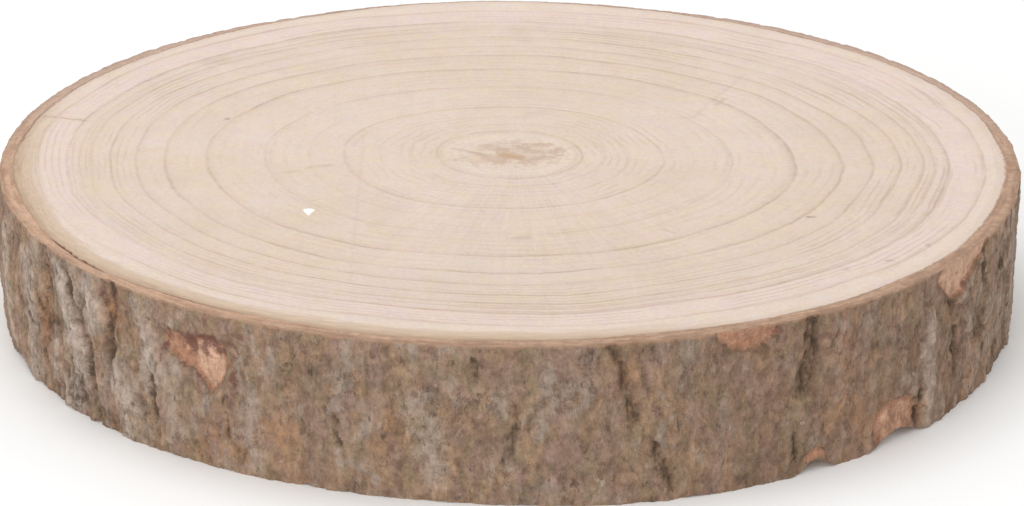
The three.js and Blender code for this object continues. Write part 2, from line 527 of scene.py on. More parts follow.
def make_blank():
    """The plain disc, with what the shaping needs on its points."""
    rings = blank_rings()
    places, traits, faces, starts = [(0.0, 0.0, 0.0)], [(0.0, 1.0, 3.5, 0.0)], [], []
    for columns, height, across, past, share in rings:
        starts.append(len(places))
        distance = share * (RADIUS - across * BARK_THICKNESS - past)
        for i in range(columns):
            turn = 2 * math.pi * i / columns
            point = (distance * math.cos(turn), distance * math.sin(turn), height * THICKNESS)
            places.append(point)
            traits.append((height, across, past, share))
    top = len(places)
    places.append((0.0, 0.0, THICKNESS))
    traits.append((1.0, 1.0, 3.5, 0.0))
    faces += cap_faces(0, starts[0], rings[0][0], upward=False)
    for i in range(len(rings) - 1):
        faces += ring_faces(starts[i], rings[i][0], starts[i + 1], rings[i + 1][0])
    faces += cap_faces(top, starts[-1], rings[-1][0], upward=True)

    mesh = bpy.data.meshes.new("slice_blank")
    mesh.from_pydata([[c * MM for c in place] for place in places], [], faces)
    for column, name in enumerate(("height", "across", "past", "share")):
        values = np.array([row[column] for row in traits], np.float32)
        mesh.attributes.new(name, "FLOAT", "POINT").data.foreach_set("value", values)
    mesh.polygons.foreach_set("use_smooth", [True] * len(mesh.polygons))
    add_bake_map(mesh)
    mark_saw_edges(mesh)
    return bpy.data.objects.new("slice_blank", mesh)


# The layout of the bake map: the upper cut is a large disc, the lower cut a smaller one beside
# it, and the bark is three strips above them.
STRIPS = 3
STRIP_START = math.radians(90)
STRIP_HEIGHT = 0.109
STRIP_GAP = 0.006
UPPER_DISC = (0.328, 0.328, 0.326)
LOWER_DISC = (0.828, 0.170, 0.166)


def add_bake_map(mesh):
    """A map of the whole slice with nothing overlapping."""
    places = np.array([v.co for v in mesh.vertices]) / MM
    layer = mesh.uv_layers.new(name=BAKE_MAP)
    spans = np.zeros((len(mesh.loops), 2), np.float32)
    for face in mesh.polygons:
        corners = list(face.loop_indices)
        points = places[list(face.vertices)]
        if abs(face.normal.z) > 0.5:
            u, v, size = UPPER_DISC if face.normal.z > 0 else LOWER_DISC
            scale = size / (RADIUS + 3)
            spans[corners, 0] = u + points[:, 0] * scale * (1 if face.normal.z > 0 else -1)
            spans[corners, 1] = v + points[:, 1] * scale
        else:
            turns = (np.arctan2(points[:, 1], points[:, 0]) - STRIP_START) / (2 * math.pi) % 1
            if np.ptp(turns) > 0.5:
                turns[turns < 0.5] += 1
            strip = min(int(turns.mean() * STRIPS), STRIPS - 1)
            spans[corners, 0] = STRIP_GAP + (turns * STRIPS - strip) * (1 - 2 * STRIP_GAP)
            foot = 1 - (strip + 1) * STRIP_HEIGHT - strip * STRIP_GAP
            spans[corners, 1] = foot + points[:, 2] / THICKNESS * (STRIP_HEIGHT - STRIP_GAP)
    layer.data.foreach_set("uv", spans.ravel())


def mark_saw_edges(mesh):
    """The two edges where a saw cut meets the bark's outside stay sharp."""
    height = np.zeros(len(mesh.vertices), np.float32)
    across = np.zeros(len(mesh.vertices), np.float32)
    mesh.attributes["height"].data.foreach_get("value", height)
    mesh.attributes["across"].data.foreach_get("value", across)
    on_edge = (across == 0) & ((height == 0) | (height == 1))
    ends = np.zeros(len(mesh.edges) * 2, np.int32)
    mesh.edges.foreach_get("vertices", ends)
    ends = ends.reshape(-1, 2)
    sharp = on_edge[ends[:, 0]] & on_edge[ends[:, 1]]
    mesh.attributes.new("sharp_edge", "BOOLEAN", "EDGE").data.foreach_set("value", sharp)


# ---- The shaping tree ----

def new_geometry_tree(name, sizes):
    """A geometry tree with a mesh in and out, and a named input for each size."""
    tree = bpy.data.node_groups.new(name, "GeometryNodeTree")
    face = tree.interface
    face.new_socket("Geometry", in_out="INPUT", socket_type="NodeSocketGeometry")
    face.new_socket("Geometry", in_out="OUTPUT", socket_type="NodeSocketGeometry")
    for label in sizes:
        face.new_socket(label, in_out="INPUT", socket_type="NodeSocketFloat")
    return tree


def named(w, name, kind="FLOAT"):
    """What the mesh holds under a name."""
    return w.add("GeometryNodeInputNamedAttribute", {"Name": name}, data_type=kind).outputs[0]


def swelling(w, turn, places):
    """How far something swells out at an angle."""
    total = 0.0
    for place in places:
        away = round_from(w, turn, place.angle)
        reach = math.radians(place.reach) * RADIUS
        total = w.plus(total, w.times(w.hump(away, 0.0, reach), place.swell))
    return total


def lobe_radius(w, turn, radius, height):
    """The trunk's outline at a height share, with no relief."""
    out_of_round = 0.0
    for lobes, (upper, lower) in enumerate(zip(UPPER_LOBES, LOWER_LOBES), 1):
        angle = w.times(turn, float(lobes))
        waves = (w.maths("COSINE", angle), w.maths("SINE", angle))
        for wave, at_top, at_foot in zip(waves, upper, lower):
            share = w.line(height, 0.0, 1.0, at_foot, at_top)
            out_of_round = w.plus(out_of_round, w.times(wave, share))
    low = w.minus(1.0, height)
    upper = w.times(swelling(w, turn, UPPER_SWELLS), height)
    middle = w.times(swelling(w, turn, MIDDLE_SWELLS), low, height, 4.0)
    lower = w.times(w.minus(swelling(w, turn, LOWER_SWELLS), LOWER_LOSS), low)
    return w.plus(w.times(radius, w.plus(out_of_round, 1.0)), upper, middle, lower)


def chip_height(w, turn, flat_ring, across, past):
    """How far the lower edge is lifted: a little all round, and more at the chips, which go
    right through the bark."""
    on_bark = w.minus(1.0, across)
    uneven = w.ramp(w.noise(flat_ring, 7.0, 3.0, 0.6), 0.5, 0.8, 0.0, 0.9)
    uneven = w.times(uneven, on_bark, on_bark)
    chipped = 0.0
    for chip in CHIPS:
        near = w.hump(round_from(w, turn, chip.angle), 0.0, chip.width / 2)
        chipped = w.most(chipped, w.times(near, chip.height))
    return w.most(uneven, w.times(chipped, w.fall(past, 0.0, 3.5)))


def shaping_tree(bark, cut):
    """Moves the blank's points out to the trunk's outline and the bark's relief."""
    sizes = ("Radius", "Thickness", "Bark thickness", "Relief", "Crack depth")
    tree = new_geometry_tree("bark_and_saw_cuts", sizes)
    w = Writer(tree)
    given = w.add("NodeGroupInput", {}).outputs
    height, across = named(w, "height"), named(w, "across")
    past, share = named(w, "past"), named(w, "share")

    position = w.add("GeometryNodeInputPosition", {}).outputs[0]
    x, y, _ = w.split(position)
    turn = w.maths("ARCTAN2", y, x)
    thickness = given["Thickness"]
    level = w.times(height, thickness)
    below = w.minus(thickness, level)
    east, north = w.maths("COSINE", turn), w.maths("SINE", turn)
    on_trunk = w.wrapped(east, north, RADIUS, level)
    pattern = bark_pattern(w, turn, below, on_trunk)

    outline = lobe_radius(w, turn, given["Radius"], height)
    flat_ring = w.wrapped(east, north, RADIUS, 0.0)
    bark_here = w.plus(
        given["Bark thickness"],
        w.times(w.swing(flat_ring, 25.0, 2.0), 0.5),
        swelling(w, turn, BARK_SWELLS),
    )
    wood = w.minus(outline, bark_here)
    # The saw has left the bark's upper edge smoother than the rest.
    relief = w.times(pattern["relief"], given["Relief"], w.ramp(height, 0.86, 1.0, 1.0, 0.4))
    outer = w.most(w.plus(outline, relief), w.plus(wood, LEAST_BARK))
    radius = w.times(w.minus(w.blend(across, outer, wood), past), share)

    lift = w.times(
        chip_height(w, turn, flat_ring, across, past), w.fall(height, 0.0, 0.35)
    )
    crumble = w.times(
        w.plus(w.ramp(w.noise(flat_ring, 5.0, 3.0, 0.6), 0.45, 0.75, 0.0, 0.45), WORN_EDGE),
        w.ramp(height, 0.97, 1.0),
        w.fall(across, 0.0, 0.6),
        w.ramp(bark_here, 0.8, 3.0, 0.3, 1.0),
    )
    crack = crack_depth(w, turn, flat_ring, across, past, height, given["Crack depth"])
    z = w.minus(w.minus(w.plus(level, lift), crumble), crack)
    moved = w.join(w.times(east, radius, MM), w.times(north, radius, MM), w.times(z, MM))
    shaped = w.add(
        "GeometryNodeSetPosition", {"Geometry": given["Geometry"], "Position": moved}
    ).outputs[0]
    rim = w.minus(outline, radius)
    kept = {**pattern, "rim": rim, "bark_here": bark_here}
    for name, value in kept.items():
        shaped = w.add(
            "GeometryNodeStoreNamedAttribute",
            {"Geometry": shaped, "Name": name, "Value": value},
            data_type="FLOAT",
            domain="POINT",
        ).outputs[0]
    whole = w.add("GeometryNodeRealizeInstances", {"Geometry": shaped}).outputs[0]
    barked = w.add("GeometryNodeSetMaterial", {"Geometry": whole, "Material": bark}).outputs[0]
    both = w.add(
        "GeometryNodeSetMaterial",
        {"Geometry": barked, "Selection": named(w, "sawn", "BOOLEAN"), "Material": cut},
    ).outputs[0]
    w.add("NodeGroupOutput", {0: both})
    return tree


# A short drying crack between the wood and the bark: angle, full reach, end and depth.
CRACK_ANGLE, CRACK_FULL, CRACK_END, CRACK_DEPTH = 216.5, 9.0, 15.0, 0.55


def crack_reach(w, turn):
    """The drying crack's strength round the slice, from 0 to 1."""
    return w.near(turn, CRACK_ANGLE, CRACK_FULL, CRACK_END)


def crack_depth(w, turn, flat_ring, across, past, height, depth):
    """How deep the drying crack is, which is on the upper cut only."""
    on_line = w.times(w.ramp(across, 0.86, 1.0), w.fall(past, 0.0, 0.5))
    uneven = w.ramp(w.noise(flat_ring, 3.0, 2.0), 0.35, 0.55, 0.3, 1.0)
    return w.times(crack_reach(w, turn), on_line, uneven, w.ramp(height, 0.98, 1.0), depth)


def shaped_mesh(blank, tree, sizes, name):
    """Runs a tree on an object and returns the result as a plain mesh object."""
    bpy.context.scene.collection.objects.link(blank)
    modifier = blank.modifiers.new("shaping", "NODES")
    modifier.node_group = tree
    for item in tree.interface.items_tree:
        if item.in_out == "INPUT" and item.name in sizes:
            modifier[item.identifier] = float(sizes[item.name])
    graph = bpy.context.evaluated_depsgraph_get()
    mesh = bpy.data.meshes.new_from_object(blank.evaluated_get(graph), depsgraph=graph)
    piece = bpy.data.objects.new(name, mesh)
    mesh.name = name
    bpy.context.scene.collection.objects.link(piece)
    plain = blank.data
    bpy.data.objects.remove(blank)
    bpy.data.meshes.remove(plain)
    return piece


# ---- Materials ----

def new_material(name, roughness):
    material = bpy.data.materials.new(name)
    material.use_nodes = True
    shader = material.node_tree.nodes["Principled BSDF"]
    shader.inputs["Roughness"].default_value = roughness
    shader.inputs["Specular IOR Level"].default_value = 0.25
    return material, shader, Writer(material.node_tree)


def object_millimetres(w):
    place = w.add("ShaderNodeTexCoord", {}).outputs["Object"]
    return w.scaled(place, 1 / MM)


def attribute(w, name):
    return w.add("ShaderNodeAttribute", {}, attribute_name=name).outputs["Fac"]


def bump(w, shader, height, distance):
    """height is in millimetres."""
    node = w.add("ShaderNodeBump", {"Strength": 1.0, "Distance": distance * MM, "Height": height})
    w.feed(shader.inputs["Normal"], node.outputs[0])


# The painted shade in the furrows and the small holes.
BARK_PAINTED_SHADE = colour(0.31, 0.25, 0.205)
BARK_BROWN = colour(0.57, 0.465, 0.385)
BARK_MAUVE = colour(0.585, 0.48, 0.42)
BARK_TAN = colour(0.66, 0.535, 0.42)
BARK_OLIVE = colour(0.565, 0.495, 0.395)
BARK_RUSSET = colour(0.53, 0.40, 0.31)
BARK_RUST = colour(0.63, 0.46, 0.34)
BARK_GREY = colour(0.625, 0.56, 0.505)
BARK_PALE = colour(0.665, 0.61, 0.565)
INNER_BARK = colour(0.84, 0.68, 0.575)
INNER_BARK_DULL = colour(0.67, 0.49, 0.39)
BRUISED_RED = colour(0.41, 0.27, 0.235)
FRESH_EDGE = colour(0.72, 0.57, 0.46)
FLECK = colour(0.78, 0.72, 0.64)


def shaded(w, base, light):
    """A colour times a brightness."""
    return w.tint(1.0, base, w.join(light, light, light), "MULTIPLY")


def bark_material():
    material, shader, w = new_material("weathered bark", 0.92)
    position = object_millimetres(w)
    turn, below, on_trunk = trunk_place(w, position)
    upright = w.drawn_out(on_trunk, 0.56)
    fibres = w.drawn_out(on_trunk, 0.3)
    rugged = rugged_share(w, turn)
    gap, (_, tone_chance, hue_chance) = plates(w, on_trunk, rugged)
    mottle = w.noise(w.drawn_out(on_trunk, 0.8), 2.4, 6.0, 0.76, 0.2)
    streaks = w.noise(fibres, 1.7, 4.0, 0.65, 0.3)
    relief = attribute(w, "relief")

    # The hues are broken up finely, and the high parts are greyer than the low parts.
    warm, green, grey = w.split(w.noise(upright, 5.5, 6.0, 0.74, output="Color"))
    warm = w.plus(
        warm, w.times(w.minus(hue_chance, 0.5), 0.06), w.line(relief, -1.6, 0.2, 0.1, 0.0)
    )
    base = w.tint(w.ramp(warm, 0.44, 0.55), BARK_MAUVE, BARK_BROWN)
    base = w.tint(w.ramp(warm, 0.52, 0.66, 0.0, 0.75), base, BARK_TAN)
    base = w.tint(w.ramp(green, 0.46, 0.62, 0.0, 0.65), base, BARK_OLIVE)
    grey = w.plus(grey, w.line(relief, -1.5, 1.5, -0.19, 0.19), w.times(rugged, 0.07))
    base = w.tint(w.ramp(grey, 0.52, 0.67, 0.0, 0.85), base, BARK_GREY)
    weathered = w.times(attribute(w, "pale"), w.ramp(mottle, 0.3, 0.56))
    base = w.tint(weathered, base, BARK_PALE)

    # Thin flakes show as a fine painted shadow along their edge and a step in tone across it.
    flake = w.noise(upright, 5.0, 6.0, 0.66, 0.2)
    flaky = w.ramp(w.noise(on_trunk, 9.0, 2.0), 0.4, 0.58, 0.2, 1.0)
    flake_edge_shadow = w.times(w.hump(flake, 0.49, 0.014), flaky)
    flake_step = w.times(w.ramp(flake, 0.485, 0.5, -0.06, 0.06), flaky)

    # The more rugged the bark, the stronger its light and dark.
    tone_and_shade = w.plus(
        w.line(mottle, 0.25, 0.75, -0.56, 0.56),
        w.line(streaks, 0.28, 0.72, -0.16, 0.16),
        w.line(tone_chance, 0.0, 1.0, -0.04, 0.04),
        # Painted shade in the low parts of the relief and a painted highlight on the high parts.
        w.line(relief, -1.6, 1.6, -0.26, 0.17),
        w.times(flake_edge_shadow, -0.26),
        flake_step,
    )
    light = w.plus(w.times(tone_and_shade, w.line(rugged, 0.45, 1.0, 0.84, 1.16)), 1.0)
    light = w.plus(light, w.line(w.noise(on_trunk, 15.0, 3.0, 0.6), 0.36, 0.64, -0.06, 0.06))
    # Broad areas of tone, with painted light in the paler areas near the foot.
    for tone in TONES:
        light = w.plus(light, w.times(area(w, turn, below, tone), tone.strength))
    rust = 0.0
    for patch in RUST:
        rust = w.most(rust, w.times(area(w, turn, below, patch), patch.strength))
    rust = w.times(rust, w.ramp(warm, 0.42, 0.6, 0.2, 1.0))
    base = w.tint(rust, base, BARK_RUST)
    base = w.tint(w.times(w.near(turn, 308, 25.0, 70.0), 0.22), base, BARK_RUSSET)
    base = shaded(w, base, light)

    # Furrows are painted darker as shade in their crevices, with ragged pits of painted shade along
    # them.
    pits = w.line(w.noise(upright, 1.6, 4.0, 0.7), 0.32, 0.68, -0.5, 0.5)
    furrow_shade = w.most(attribute(w, "furrow_shade"), w.times(gap, 0.75))
    soft_furrow_shade = w.ramp(w.plus(furrow_shade, w.times(pits, 0.4)), 0.05, 1.0, 0.0, 0.5)
    base = w.tint(soft_furrow_shade, base, BARK_PAINTED_SHADE)
    base = w.tint(w.ramp(w.plus(furrow_shade, pits), 0.5, 0.95, 0.0, 0.65), base, BARK_PAINTED_SHADE)
    # Small holes painted dark as shade, and a few pale flecks, are scattered over the rest.
    scatter = w.noise(upright, 2.0, 3.0, 0.6)
    base = w.tint(w.ramp(scatter, 0.29, 0.35, 0.6, 0.0), base, BARK_PAINTED_SHADE)
    base = w.tint(w.ramp(scatter, 0.68, 0.74, 0.0, 0.4), base, FLECK)

    # Broken places show the inner bark, palest in the middle.
    patchy = w.line(w.noise(on_trunk, 2.6, 5.0, 0.7, 0.5), 0.38, 0.62, -0.5, 0.5)
    scar = w.plus(attribute(w, "scar"), w.times(patchy, 0.3))
    inner = w.tint(w.ramp(scar, 0.5, 1.05), INNER_BARK_DULL, INNER_BARK)
    grain = w.plus(1.0, w.line(mottle, 0.35, 0.65, -0.3, 0.2), w.line(streaks, 0.3, 0.7, -0.14, 0.14))
    inner = shaded(w, inner, grain)
    base = w.tint(w.ramp(scar, 0.2, 0.46, 0.0, 0.9), base, inner)
    outlined = w.times(w.hump(scar, 0.22, 0.16), 0.45)
    ragged = w.line(w.noise(on_trunk, 2.8, 6.0, 0.72), 0.38, 0.62, -0.3, 0.7)
    bruise = w.minus(w.most(attribute(w, "bruise"), outlined), ragged)
    base = w.tint(w.ramp(bruise, -0.05, 0.9, 0.0, 0.85), base, BRUISED_RED)

    # The saw leaves a thin fresh line along the upper edge.
    fresh = w.ramp(w.plus(below, w.line(mottle, 0.3, 0.7, -0.8, 0.8)), 0.1, 1.0, 0.6, 0.0)
    base = w.tint(fresh, base, FRESH_EDGE)

    w.feed(shader.inputs["Base Color"], base)
    w.feed(shader.inputs["Roughness"], w.line(mottle, 0.3, 0.7, 0.98, 0.8))
    fine = w.plus(
        w.times(mottle, 1.5), w.times(streaks, 0.4), w.times(pits, 0.3), w.times(flake_step, 1.5)
    )
    bump(w, shader, fine, 0.6)
    return material


# ---- The sawn face ----

PITH = (1.0, 3.1)
# The rings are pushed off centre towards this angle, most at about two thirds of the radius.
RINGS_LEAN_ANGLE, RINGS_LEAN = 228, 6.8
RINGS_OVAL = 1.5

# Growth rings: mean radius, width of the line, and how dark it is.
RINGS = (
    (8.0, 0.8, 0.18), (12.8, 0.9, 0.14), (18.2, 0.9, 0.40), (24.5, 0.9, 0.16),
    (31.0, 0.9, 0.14), (39.5, 1.0, 0.34), (47.5, 0.9, 0.14), (57.8, 1.0, 0.27),
    (73.2, 1.2, 0.50), (84.6, 1.2, 0.48), (92.4, 1.1, 0.42), (99.6, 1.0, 0.38),
    (105.6, 0.9, 0.38), (108.3, 0.8, 0.32), (111.9, 1.1, 0.52), (120.8, 0.8, 0.42),
)
# Where the wood is finely ringed: from, to, the distance between rings, and how dark they are.
FINE_RINGS = ((9, 46, 2.3, 0.2), (48, 92, 3.1, 0.14), (90, 124, 1.9, 0.3))

WOOD = colour(0.842, 0.772, 0.716)
WOOD_WARM = colour(0.84, 0.762, 0.695)
WOOD_PINK = colour(0.862, 0.782, 0.742)
WOOD_CREAM = colour(0.865, 0.80, 0.742)
RING_LINE = colour(0.69, 0.59, 0.50)
EDGE_TAN = colour(0.785, 0.69, 0.595)
EDGE_DEEP = colour(0.70, 0.595, 0.50)
CUT_BARK = colour(0.765, 0.63, 0.53)
CUT_BARK_DARK = colour(0.67, 0.53, 0.44)
CUT_BARK_GREY = colour(0.735, 0.635, 0.575)
CAMBIUM = colour(0.54, 0.42, 0.345)
CRACK_RED = colour(0.40, 0.25, 0.20)
PITH_BROWN = colour(0.70, 0.585, 0.50)
PITH_CORE = colour(0.71, 0.57, 0.42)
STAIN = colour(0.56, 0.46, 0.37)
SPECK = colour(0.33, 0.26, 0.22)
WHITE_CHIP = colour(0.97, 0.955, 0.94)

# Small marks on the upper cut: where each starts and ends, its half width, its colour and how
# strong it is.
FACE_MARKS = (
    ((73.4, -44.2), (74.8, -43.8), 0.9, SPECK, 0.8),
    ((-74.6, 27.0), (-74.3, 27.2), 0.8, SPECK, 0.6),
    ((-111.0, 24.8), (-123.0, 28.4), 1.0, STAIN, 0.42),
    ((-38.0, 18.0), (-38.0, -90.0), 0.6, STAIN, 0.09),
    ((47.0, 30.0), (62.0, 66.0), 0.8, STAIN, 0.12),
    ((54.0, 41.0), (56.5, 46.5), 1.0, STAIN, 0.25),
    ((4.0, 94.0), (0.5, 107.0), 3.4, STAIN, 0.12),
    ((6.0, 33.0), (7.0, 33.4), 3.2, STAIN, 0.14),
    ((1.0, -60.4), (4.0, -59.8), 1.8, STAIN, 0.22),
    ((-46.0, -8.4), (-52.0, -10.4), 1.1, STAIN, 0.22),
    ((-54.0, -13.0), (-57.2, -14.2), 1.1, STAIN, 0.22),
    ((-78.5, 76.5), (-82.5, 73.5), 2.8, STAIN, 0.16),
    ((79.6, -80.2), (80.2, -79.6), 0.9, STAIN, 0.4),
    ((90.7, -74.0), (91.3, -73.4), 1.0, STAIN, 0.4),
    ((100.9, -63.3), (101.3, -62.7), 0.9, STAIN, 0.4),
    ((36.5, -53.0), (40.0, -56.2), 0.9, STAIN, 0.22),
)
# A white fleck, wide at the back and narrow at the front.
WHITE_FLECK = ((-50.0, -41.8), (-49.8, -44.8), 1.75, 0.45)

# The pith's core and the stain's short tail: start, end and half width.
PITH_CORE_MARK = ((-2.2, 0.2), (1.8, -1.6), 2.4)
PITH_TAIL_MARK = ((-8.0, 1.0), (-15.0, 5.0), 0.9)
# The stained patches round the pith: the middle, the half sizes and the strength.
PITH_PATCHES = (
    ((4.5, 1.5), (9.5, 10.0), 0.46),
    ((-6.0, -3.5), (8.0, 5.5), 0.36),
    ((-3.0, 6.5), (6.5, 4.0), 0.3),
)


def ring_radius(w, position):
    """The distance from the pith as a growth ring sees it, the plain distance, and the
    direction from the pith."""
    x, y, _ = w.split(position)
    dx, dy = w.minus(x, PITH[0]), w.minus(y, PITH[1])
    flat = w.join(dx, dy, 0.0)
    distance = w.most(w.add("ShaderNodeVectorMath", {0: flat}, operation="LENGTH").outputs[1], 0.01)
    east, north = w.over(dx, distance), w.over(dy, distance)
    share = w.maths("POWER", w.over(distance, RADIUS - 2), 1.2)
    swell = w.maths("SINE", w.times(w.maths("MINIMUM", share, 1.0), math.pi))
    lean = math.radians(RINGS_LEAN_ANGLE)
    push = w.plus(
        w.times(east, math.cos(lean) * RINGS_LEAN),
        w.times(north, math.sin(lean) * RINGS_LEAN),
        w.times(w.minus(w.times(east, east), 0.5), 2 * RINGS_OVAL),
    )
    wobble = w.plus(
        w.times(w.swing(flat, 55.0, 1.0), 1.5),
        w.times(w.swing(flat, 14.0, 2.0), 0.34),
        w.times(w.swing(flat, 3.5, 3.0, 0.6), 0.1),
    )
    radius = w.minus(w.minus(distance, w.times(push, swell)), wobble)
    return radius, distance, east, north


def ring_lines(w, radius, east, north):
    """How dark the growth rings are: the main ones and the fine ones between them."""
    round_ring = w.wrapped(east, north, 60.0, radius)
    patchy = w.ramp(w.noise(round_ring, 26.0, 2.0), 0.3, 0.62, 0.45, 1.15)
    line = 0.0
    for mean, width, dark in RINGS:
        early = w.ramp(radius, mean - 3.0 * width, mean, 0.0, 0.3)
        late = w.ramp(radius, mean - width, mean)
        end = w.fall(radius, mean, mean + 0.6 * width)
        line = w.most(line, w.times(w.most(early, late), end, dark))
    worn = w.line(w.noise(round_ring, 4.0, 3.0, 0.7), 0.35, 0.65, 0.65, 1.2)
    line = w.times(line, patchy, worn)
    short = w.wrapped(east, north, 14.0, w.times(radius, 0.5))
    shown = w.ramp(w.noise(short, 4.0, 3.0, 0.6), 0.42, 0.62)
    drift = w.times(w.swing(round_ring, 18.0, 2.0), 2.2)
    for start, end, apart, dark in FINE_RINGS:
        phase = w.plus(w.times(radius, 2 * math.pi / apart), drift)
        ridge = w.ramp(w.maths("SINE", phase), 0.1, 1.0, 0.0, dark)
        inside = w.times(w.ramp(radius, start, start + 6), w.fall(radius, end - 4, end))
        line = w.plus(line, w.times(ridge, inside, shown))
    return line


def mark_share(w, position, start, end, half_width, end_half_width=None):
    """1 on a short straight mark, 0 away from it."""
    way = (end[0] - start[0], end[1] - start[1], 0.0)
    flat = w.drawn_out(position, 0.0)
    offset = w.vector("SUBTRACT", flat, (*start, 0.0))
    dot = w.add("ShaderNodeVectorMath", {0: offset, 1: way}, operation="DOT_PRODUCT").outputs[1]
    along = w.line(w.over(dot, way[0] ** 2 + way[1] ** 2), 0.0, 1.0, 0.0, 1.0)
    gap = w.vector("SUBTRACT", offset, w.scaled(w.join(*way), along))
    away = w.add("ShaderNodeVectorMath", {0: gap}, operation="LENGTH").outputs[1]
    if end_half_width:
        half_width = w.line(along, 0.0, 1.0, half_width, end_half_width)
    return w.fall(w.over(away, half_width), 0.2, 1.2)


def pith_stain(w, position, ragged):
    """The ragged brown stain round the pith, from 0 to 1."""
    x, y, _ = w.split(position)
    stain = 0.0
    ragged = w.line(ragged, 0.36, 0.64, 0.0, 1.0)
    for (middle_x, middle_y), (half_x, half_y), strength in PITH_PATCHES:
        dx, dy = w.over(w.minus(x, middle_x), half_x), w.over(w.minus(y, middle_y), half_y)
        away = w.maths("SQRT", w.plus(w.times(dx, dx), w.times(dy, dy)))
        away = w.plus(away, w.times(w.minus(ragged, 0.5), 0.8))
        stain = w.most(stain, w.ramp(away, 0.5, 1.2, strength, 0.0))
    return stain


